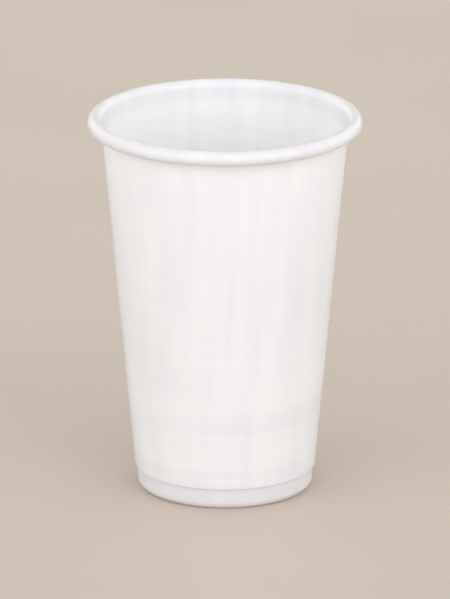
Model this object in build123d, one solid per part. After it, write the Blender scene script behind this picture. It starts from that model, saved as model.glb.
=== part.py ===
from build123d import *
import math
import os

# Disposable drinking cup, formed as one piece from thin white plastic sheet.
# Millimetres, +Z up. The origin is the centre of the foot, on the surface that the cup stands on.
# The cup is one section turned about Z. The section follows the middle of the sheet from the axis,
# across the raised floor, round the foot, up the heel, ledge and side wall, and over the rolled rim.

# Overall sizes
rim_diameter = 70.3  # over the outside of the rolled rim
cup_height = 99.0
base_diameter = 45.0  # middle of the sheet, where the side wall would meet the table if it ran on down
sheet_thickness = 0.3

# Rolled rim
curl_diameter = 3.8  # over the outside of the roll
curl_turn_degrees = 300.0  # from the side wall up, over, down and back under

# Foot, a flat ring to stand on, with the floor raised inside it
foot_corner_radius = 2.2  # outside
foot_ring_width = 0.8
floor_rise = 1.8  # underside of the floor above the table
floor_slope_run = 1.2  # how far in the foot's inner slope reaches as it rises to the floor
floor_bend_radius = 1.0  # middle of the sheet, at both ends of the slope

# Stacking heel, whose ledge carries the rounded foot of the next cup in a stack
nest_pitch = 4.35  # from one cup to the next in a stack
ledge_width = 0.6
ledge_bend_share = 0.45  # bend at both edges of the ledge, as a share of its width

half_sheet = sheet_thickness / 2


def rolled_rim():
    """Centre and middle radius of the roll."""
    centre = (rim_diameter / 2 - curl_diameter / 2, cup_height - curl_diameter / 2)
    return centre, curl_diameter / 2 - half_sheet


def wall_lean():
    """Lean of the side wall from the vertical, in radians, so that it runs on smoothly into the roll."""
    (across, up), curl_radius = rolled_rim()
    run = across - base_diameter / 2
    return math.atan2(run, up) - math.asin(curl_radius / math.hypot(run, up))


def wall_radius(height):
    """Radius of the middle of the side wall at a height."""
    return base_diameter / 2 + height * math.tan(wall_lean())


def ledge_bend_radius():
    """Bend of the middle of the sheet at both edges of the ledge."""
    return ledge_bend_share * ledge_width


def ledge_height():
    """Height of the middle of the ledge, whose rounded edge carries the next cup's foot one pitch up."""
    # The two rounds touch with their centres bends + half_sheet apart, and bends - half_sheet apart across.
    bends = foot_corner_radius + ledge_bend_radius()
    return nest_pitch + bends - math.sqrt(2 * bends * sheet_thickness)


def cup_side():
    """Middle of the sheet from the axis to the top of the side wall, as corners and their bend radii."""
    (across, up), curl_radius = rolled_rim()
    lean = wall_lean()
    wall_top = (across - curl_radius * math.cos(lean), up + curl_radius * math.sin(lean))

    ledge_edge = (wall_radius(ledge_height()), ledge_height())
    heel_radius = ledge_edge[0] - ledge_width
    heel_top = (heel_radius, ledge_height())
    heel_foot = (heel_radius, half_sheet)

    foot_bend = foot_corner_radius - half_sheet
    slope_turn = math.atan2(floor_rise, floor_slope_run)
    slope_bend_length = floor_bend_radius * math.tan(slope_turn / 2)
    slope_foot = (heel_radius - foot_bend - foot_ring_width - slope_bend_length, half_sheet)
    floor_edge = (slope_foot[0] - floor_slope_run, half_sheet + floor_rise)
    floor_centre = (0, half_sheet + floor_rise)

    corners = [floor_centre, floor_edge, slope_foot, heel_foot, heel_top, ledge_edge, wall_top]
    bends = [floor_bend_radius, floor_bend_radius, foot_bend, ledge_bend_radius(), ledge_bend_radius()]
    return corners, bends


def cup():
    """The section, given the sheet's thickness and turned about Z."""
    curl_centre, curl_radius = rolled_rim()
    curl_start_degrees = 180 - math.degrees(wall_lean())
    corners, bends = cup_side()
    with BuildPart() as body:
        with BuildSketch(Plane.XZ):
            with BuildLine():
                FilletPolyline(*corners, radius=bends)
                CenterArc(curl_centre, curl_radius, curl_start_degrees, -curl_turn_degrees)
            trace(line_width=sheet_thickness)
        revolve(axis=Axis.Z)
    return body.part


os.makedirs("parts", exist_ok=True)
export_step(cup(), "parts/cup.step")
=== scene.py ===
import math
from collections import namedtuple

import bmesh
import bpy
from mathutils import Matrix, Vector, noise


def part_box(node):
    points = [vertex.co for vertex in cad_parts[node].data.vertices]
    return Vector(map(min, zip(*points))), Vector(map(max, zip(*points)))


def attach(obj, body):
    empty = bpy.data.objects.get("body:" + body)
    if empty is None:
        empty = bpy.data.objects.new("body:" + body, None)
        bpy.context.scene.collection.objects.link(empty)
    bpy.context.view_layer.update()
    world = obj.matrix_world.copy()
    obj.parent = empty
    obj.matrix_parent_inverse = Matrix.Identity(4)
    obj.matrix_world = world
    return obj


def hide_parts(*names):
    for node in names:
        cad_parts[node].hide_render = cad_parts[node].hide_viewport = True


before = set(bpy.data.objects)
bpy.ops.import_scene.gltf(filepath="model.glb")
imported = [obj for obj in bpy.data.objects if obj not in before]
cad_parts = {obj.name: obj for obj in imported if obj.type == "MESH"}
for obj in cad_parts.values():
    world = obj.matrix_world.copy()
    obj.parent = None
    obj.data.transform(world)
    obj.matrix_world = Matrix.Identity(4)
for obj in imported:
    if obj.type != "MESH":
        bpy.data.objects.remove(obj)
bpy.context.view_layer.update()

# A tall tapered drinking cup of thin white plastic, on a plain floor.
# Metres, +Z up, in the frame's own axes. The rim and the height come from the frame, and the rest of
# the section is set here, as radii and heights of the middle of the sheet.
cup_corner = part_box("cup")[1]
rim_radius = cup_corner[0]
cup_height = cup_corner[2]
base_radius = 0.0225
sheet_thickness = 0.0003
half_sheet = sheet_thickness / 2

# Rolled rim
curl_radius = 0.0019 - half_sheet
curl_turn = math.radians(300)
curl_across = rim_radius - half_sheet - curl_radius
curl_up = cup_height - half_sheet - curl_radius

# Foot, floor and stacking heel
foot_bend = 0.0022 - half_sheet
foot_ring_width = 0.0008
floor_rise = 0.0018
floor_slope_run = 0.0012
floor_bend = 0.001
nest_pitch = 0.00435
ledge_width = 0.0006
ledge_bend = 0.45 * ledge_width

# How far the thin sheet gives: the wall in and out, in waves of so many to a metre, and the floor upwards
wall_give = 0.00012
wall_waves = 45
floor_crown = 0.0003

# Mesh
around_steps = 240
curl_steps = 40
bend_steps = 8
wall_cuts = 48
floor_cuts = 12
merge_distance = 1e-6

# Patterns in the plastic: waves to a metre, the share of them along each axis, and how far the rings fade
# from low on the wall upwards
streak_waves = 260
streak_stretch = (1, 1, 0.05)
ring_waves = 300
ring_stretch = (0.02, 0.02, 1)
ring_fade_heights = (0.012, 0.045)
ring_fades = (1, 0.15)
smear_waves = 30
smear_stretch = (1, 1, 0.4)
grain_waves = 2200
pattern_roughness = 0.55

# Density of the sheet, from 0 to 1: up the cup by shares of its height, across its floor from the middle
# out, and what the streaks and rings add within their own range.
# Up the cup it is low at the foot as painted shade, and lower over the rolled rim as painted shade that
# keeps the lamps' highlights there from burning out.
height_densities_and_shade = ((0, 0.1), (0.03, 0.2), (0.06, 0.5), (0.14, 0.85), (0.93, 0.75), (0.96, 0.55), (1, 0.55))
floor_densities = (1, 0.1)
thick_floor_radius = 0.018
streak_range = (0.3, 0.7)
streak_densities = (-0.25, 0.25)
ring_range = (0.35, 0.65)
ring_densities = (-0.4, 0.4)

# Surface: its roughness over the smears, the grain's share of its relief, and that relief's depth and
# strength
smear_range = (0.2, 0.8)
gloss_roughness = (0.2, 0.26)
grain_share = 0.35
relief_depth = 0.0001
relief_strength = 0.5

# Plastic: its white where thin and where dense, the white of the light that comes through, and how much of
# that shows where thin and where dense.
# The thin white, greyer and faintly rosy, is also the colour of the painted shade at the foot and over the
# rim.
thin_and_shaded_white = (0.885, 0.872, 0.905, 1)
dense_white = (0.953, 0.958, 0.972, 1)
through_white = (0.963, 0.955, 0.968, 1)
through_shares = (0.44, 0.3)
plastic_ior = 1.49

# Floor, light and camera
floor_radius = 6.0
floor_opening = 0.0204
floor_steps = 96
dark_tan = (0.565, 0.487, 0.409, 1)
light_tan = (0.63, 0.542, 0.458, 1)
mottle_waves = 9
mottle_detail = 5
background_tan = (0.636, 0.556, 0.473, 1)
lamp_white = (0.95, 0.98, 1)
room_white = (1, 1, 1, 1)
room_strength = 0.5
view_elevation = math.radians(17.5)
view_distance = 2.3
view_height = 0.154

# A corner of the section: its radius, its height and the radius of its bend
Corner = namedtuple("Corner", "across up bend")


def lean_of_wall():
    """Lean of the side wall from the vertical, so that it runs on smoothly into the roll."""
    run = curl_across - base_radius
    return math.atan2(run, curl_up) - math.asin(curl_radius / math.hypot(run, curl_up))


def section_corners():
    """The corners of the section, from the axis to the top of the wall."""
    lean = lean_of_wall()
    # A foot of this shape, raised by the pitch, rests on the rounded edge of the ledge
    foot_and_ledge = foot_bend + half_sheet + ledge_bend
    ledge_up = nest_pitch + foot_and_ledge - math.sqrt(2 * foot_and_ledge * sheet_thickness)
    ledge_across = base_radius + ledge_up * math.tan(lean)
    heel = ledge_across - ledge_width
    slope_turn = math.atan2(floor_rise, floor_slope_run)
    slope_foot = heel - foot_bend - foot_ring_width - floor_bend * math.tan(slope_turn / 2)
    floor_up = half_sheet + floor_rise
    return [
        Corner(0, floor_up, 0),
        Corner(slope_foot - floor_slope_run, floor_up, floor_bend),
        Corner(slope_foot, half_sheet, floor_bend),
        Corner(heel, half_sheet, foot_bend),
        Corner(heel, ledge_up, ledge_bend),
        Corner(ledge_across, ledge_up, ledge_bend),
        Corner(curl_across - curl_radius * math.cos(lean), curl_up + curl_radius * math.sin(lean), 0),
    ]


def bend_length(before, corner, after):
    """How far a bend reaches along the sheet on each side of its corner."""
    arriving = Vector((corner.across, corner.up)) - Vector((before.across, before.up))
    leaving = Vector((after.across, after.up)) - Vector((corner.across, corner.up))
    return corner.bend * math.tan(arriving.angle(leaving) / 2)


def ring_edges(sheet, corner):
    """The edges of the ring at a corner of the section."""
    def on_ring(vert):
        across = math.hypot(vert.co.x, vert.co.y)
        return math.hypot(across - corner.across, vert.co.z - corner.up) < merge_distance

    return [edge for edge in sheet.edges if all(on_ring(vert) for vert in edge.verts)]


def turned_sheet(corners):
    """The middle of the sheet: the section, with its rim rolled, turned about Z and bent at its corners."""
    sheet = bmesh.new()
    line = [sheet.verts.new((corner.across, 0, corner.up)) for corner in corners]
    runs = [sheet.edges.new(pair) for pair in zip(line, line[1:])]
    bmesh.ops.spin(
        sheet, geom=line[-1:], cent=(curl_across, 0, curl_up), axis=(0, 1, 0),
        angle=curl_turn, steps=curl_steps,
    )
    bmesh.ops.subdivide_edges(sheet, edges=runs[-1:], cuts=wall_cuts)
    bmesh.ops.subdivide_edges(sheet, edges=runs[:1], cuts=floor_cuts)
    bmesh.ops.spin(
        sheet, geom=sheet.verts[:] + sheet.edges[:], cent=(0, 0, 0), axis=(0, 0, 1),
        angle=math.tau, steps=around_steps, use_merge=True,
    )
    bmesh.ops.remove_doubles(sheet, verts=sheet.verts, dist=merge_distance)
    for before, corner, after in zip(corners, corners[1:], corners[2:]):
        bmesh.ops.bevel(
            sheet, geom=ring_edges(sheet, corner), offset=bend_length(before, corner, after),
            segments=bend_steps, profile=0.5, affect="EDGES", material=-1,
        )
    bmesh.ops.recalc_face_normals(sheet, faces=sheet.faces)
    return sheet


def uneven_sheet(sheet, corners):
    """Lets the wall waver a little between the stiff heel and the stiff rim, and crowns the floor."""
    floor_edge = corners[1].across
    ledge = corners[-2]
    wall_foot = ledge.up + ledge.bend
    wall_rise = curl_up - curl_radius - wall_foot
    for vert in sheet.verts:
        outwards = Vector((vert.co.x, vert.co.y, 0))
        climb = (vert.co.z - wall_foot) / wall_rise
        if outwards.length < floor_edge:
            vert.co.z += floor_crown * (1 - (outwards.length / floor_edge) ** 2) ** 2
        elif 0 < climb < 1:
            give = wall_give * math.sin(math.pi * climb) * noise.noise(vert.co * wall_waves)
            vert.co += outwards.normalized() * give


def cup_piece():
    """The cup, with the sheet's thickness on both sides of its middle."""
    corners = section_corners()
    sheet = turned_sheet(corners)
    uneven_sheet(sheet, corners)
    mesh = bpy.data.meshes.new("drinking_cup")
    sheet.to_mesh(mesh)
    sheet.free()
    mesh.shade_smooth()
    mesh.materials.append(white_plastic())
    cup = bpy.data.objects.new("drinking_cup", mesh)
    bpy.context.collection.objects.link(cup)
    thickness = cup.modifiers.new("sheet", "SOLIDIFY")
    thickness.thickness = sheet_thickness
    thickness.offset = 0
    thickness.use_even_offset = True
    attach(cup, "root")
    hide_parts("cup")


def new_material(name):
    """A material and its empty node tree."""
    material = bpy.data.materials.new(name)
    material.use_nodes = True
    material.node_tree.nodes.clear()
    return material, material.node_tree


def add(tree, kind, inputs=None, **settings):
    """A node with its settings, and its inputs set to values or linked."""
    made = tree.nodes.new(kind)
    for name, value in settings.items():
        setattr(made, name, value)
    for name, value in (inputs or {}).items():
        if isinstance(value, bpy.types.NodeSocket):
            tree.links.new(value, made.inputs[name])
        else:
            made.inputs[name].default_value = value
    return made


def pattern(tree, place, waves, stretch=(1, 1, 1), detail=1):
    """Soft noise of so many waves to a metre, stretched along an axis that has a small share of them."""
    stretched = add(tree, "ShaderNodeMapping", {"Vector": place, "Scale": stretch})
    inputs = {
        "Vector": stretched.outputs["Vector"],
        "Scale": waves,
        "Detail": detail,
        "Roughness": pattern_roughness,
    }
    return add(tree, "ShaderNodeTexNoise", inputs).outputs["Fac"]


def spread(tree, value, range_from, range_to):
    """A value carried from one range to another, and held there."""
    inputs = {
        "Value": value,
        "From Min": range_from[0],
        "From Max": range_from[1],
        "To Min": range_to[0],
        "To Max": range_to[1],
    }
    return add(tree, "ShaderNodeMapRange", inputs).outputs["Result"]


def levels(tree, share, steps):
    """A value that follows a table of shares, from 0 to 1, and the level at each."""
    ramp = add(tree, "ShaderNodeValToRGB", {"Fac": share})
    stops = ramp.color_ramp.elements
    for position, _ in steps[1:-1]:
        stops.new(position)
    for stop, (position, level) in zip(stops, steps):
        stop.position = position
        stop.color = (level, level, level, 1)
    return ramp.outputs["Color"]


def maths(tree, operation, first, second):
    """The result of an operation on two values."""
    return add(tree, "ShaderNodeMath", {0: first, 1: second}, operation=operation).outputs["Value"]


def colour_between(tree, share, first, second):
    """The colour at a share of the way between two."""
    inputs = {"Factor": share, "A": first, "B": second}
    return add(tree, "ShaderNodeMix", inputs, data_type="RGBA", clamp_factor=True).outputs["Result"]


def shader_between(tree, share, first, second):
    """The mix of two shaders, with a share of the second."""
    return add(tree, "ShaderNodeMixShader", {"Fac": share, 1: first, 2: second}).outputs["Shader"]


def sheet_density_and_shade(tree, place, up, streaks, rings, low_down):
    """Density of the sheet: most on the wall and in mid floor, least at the foot as painted shade, lower
    over the rim as painted shade against the lamps' highlights, streaked and ringed.
    """
    share = spread(tree, up, (0, cup_height), (0, 1))
    # Low at the foot as painted shade, and lower over the rim as painted shade against the lamps'
    # highlights
    up_the_cup_and_shade = levels(tree, share, height_densities_and_shade)
    across = add(tree, "ShaderNodeVectorMath", {0: place, 1: (1, 1, 0)}, operation="MULTIPLY")
    radius = add(tree, "ShaderNodeVectorMath", {0: across.outputs["Vector"]}, operation="LENGTH")
    on_the_floor = spread(tree, radius.outputs["Value"], (0, thick_floor_radius), floor_densities)
    formed_and_shaded = maths(tree, "MAXIMUM", up_the_cup_and_shade, on_the_floor)
    streaked = maths(tree, "ADD", formed_and_shaded, spread(tree, streaks, streak_range, streak_densities))
    ringed = maths(tree, "MULTIPLY", spread(tree, rings, ring_range, ring_densities), low_down)
    return maths(tree, "ADD", streaked, ringed)


def sheet_marks(tree, streaks, rings, low_down, grain):
    """The sheet's relief: streaks from drawing it, rings low down where it chilled, and a fine grain."""
    drawn = maths(tree, "ADD", streaks, maths(tree, "MULTIPLY", rings, low_down))
    relief = maths(tree, "ADD", drawn, maths(tree, "MULTIPLY", grain, grain_share))
    inputs = {"Strength": relief_strength, "Distance": relief_depth, "Height": relief}
    return add(tree, "ShaderNodeBump", inputs).outputs["Normal"]


def white_plastic():
    """Thin white sheet with a soft gloss, uneven in how dense it is, with painted shade at the foot and
    over the rim, and letting some light through.
    """
    material, tree = new_material("white_plastic")
    place = add(tree, "ShaderNodeTexCoord").outputs["Object"]
    up = add(tree, "ShaderNodeSeparateXYZ", {"Vector": place}).outputs["Z"]
    streaks = pattern(tree, place, streak_waves, streak_stretch)
    rings = pattern(tree, place, ring_waves, ring_stretch)
    smears = pattern(tree, place, smear_waves, smear_stretch)
    grain = pattern(tree, place, grain_waves)
    low_down = spread(tree, up, ring_fade_heights, ring_fades)
    density_and_shade = sheet_density_and_shade(tree, place, up, streaks, rings, low_down)
    inputs = {
        # The colour goes towards the thin white where the sheet is thin, and where shade is painted at the
        # foot and over the rim
        "Base Color": colour_between(tree, density_and_shade, thin_and_shaded_white, dense_white),
        "Roughness": spread(tree, smears, smear_range, gloss_roughness),
        "IOR": plastic_ior,
        "Normal": sheet_marks(tree, streaks, rings, low_down, grain),
    }
    plastic = add(tree, "ShaderNodeBsdfPrincipled", inputs).outputs["BSDF"]
    through = add(tree, "ShaderNodeBsdfTranslucent", {"Color": through_white}).outputs["BSDF"]
    through_share = spread(tree, density_and_shade, (0, 1), through_shares)
    sheet = shader_between(tree, through_share, plastic, through)
    add(tree, "ShaderNodeOutputMaterial", {"Surface": sheet})
    return material


def floor_paint():
    """Matt pale tan with a faint mottle, clear from below."""
    material, tree = new_material("floor_paint")
    place = add(tree, "ShaderNodeTexCoord").outputs["Object"]
    mottle = pattern(tree, place, mottle_waves, detail=mottle_detail)
    tan = colour_between(tree, mottle, dark_tan, light_tan)
    paint = add(tree, "ShaderNodeBsdfDiffuse", {"Color": tan}).outputs["BSDF"]
    clear = add(tree, "ShaderNodeBsdfTransparent").outputs["BSDF"]
    from_below = add(tree, "ShaderNodeNewGeometry").outputs["Backfacing"]
    either = shader_between(tree, from_below, paint, clear)
    add(tree, "ShaderNodeOutputMaterial", {"Surface": either})
    return material


def floor_piece():
    """A wide floor, open where the foot hides it, so that light reaches the underside."""
    disc = bmesh.new()
    for radius in (floor_opening, floor_radius):
        bmesh.ops.create_circle(disc, segments=floor_steps, radius=radius)
    bmesh.ops.bridge_loops(disc, edges=disc.edges)
    disc.normal_update()
    for face in disc.faces:
        if face.normal.z < 0:
            face.normal_flip()
    mesh = bpy.data.meshes.new("floor")
    disc.to_mesh(mesh)
    disc.free()
    mesh.materials.append(floor_paint())
    floor = bpy.data.objects.new("floor", mesh)
    bpy.context.collection.objects.link(floor)


def lamp(name, place, strength, width):
    """A soft far lamp in the direction of a place, so many degrees wide, and even over the whole floor."""
    light = bpy.data.lights.new(name, "SUN")
    light.energy = strength
    light.color = lamp_white
    light.angle = math.radians(width)
    stand = bpy.data.objects.new(name, light)
    stand.location = place
    facing = Vector((0, 0, cup_height / 2)) - stand.location
    stand.rotation_euler = facing.to_track_quat("-Z", "Y").to_euler()
    bpy.context.collection.objects.link(stand)


def studio_light():
    """A broad soft light from the front, with a lamp to each side of it, two behind and one above."""
    lamp("front_lamp", place=(0.2, -1.6, 0.3), strength=1.8, width=90)
    lamp("right_lamp", place=(1.5, -0.9, 0.5), strength=1.25, width=70)
    lamp("left_lamp", place=(-1.5, -0.9, 0.5), strength=1.4, width=70)
    lamp("back_right_lamp", place=(1.2, 1.2, 0.5), strength=0.9, width=60)
    lamp("back_left_lamp", place=(-1.2, 1.2, 0.5), strength=0.9, width=60)
    lamp("top_lamp", place=(0.1, -0.2, 1.5), strength=0.1, width=60)


def studio_world():
    """Soft white light from all round, seen as a background of the floor's own tan."""
    world = bpy.data.worlds.new("studio")
    world.use_nodes = True
    tree = world.node_tree
    tree.nodes.clear()
    light = add(tree, "ShaderNodeBackground", {"Color": room_white, "Strength": room_strength})
    tan = add(tree, "ShaderNodeBackground", {"Color": background_tan, "Strength": 1})
    ray = add(tree, "ShaderNodeLightPath").outputs
    mirrored = maths(tree, "MAXIMUM", ray["Is Glossy Ray"], ray["Is Transmission Ray"])
    seen = maths(tree, "MAXIMUM", ray["Is Camera Ray"], mirrored)
    either = shader_between(tree, seen, light.outputs["Background"], tan.outputs["Background"])
    add(tree, "ShaderNodeOutputWorld", {"Surface": either})
    bpy.context.scene.world = world


def photo_camera():
    """The photograph's viewing angle, from straight in front and a little above."""
    camera = bpy.data.cameras.new("camera")
    camera.sensor_fit = "VERTICAL"
    camera.lens = camera.sensor_height * view_distance / view_height
    camera.clip_end = view_distance + 2 * floor_radius
    stand = bpy.data.objects.new("camera", camera)
    aim = Vector((0, 0, cup_height / 2))
    away = Vector((0, -math.cos(view_elevation), math.sin(view_elevation)))
    stand.location = aim + view_distance * away
    stand.rotation_euler = (-away).to_track_quat("-Z", "Y").to_euler()
    bpy.context.collection.objects.link(stand)
    bpy.context.scene.camera = stand


cup_piece()
floor_piece()
studio_light()
studio_world()
photo_camera()
bpy.context.scene.view_settings.view_transform = "Standard"
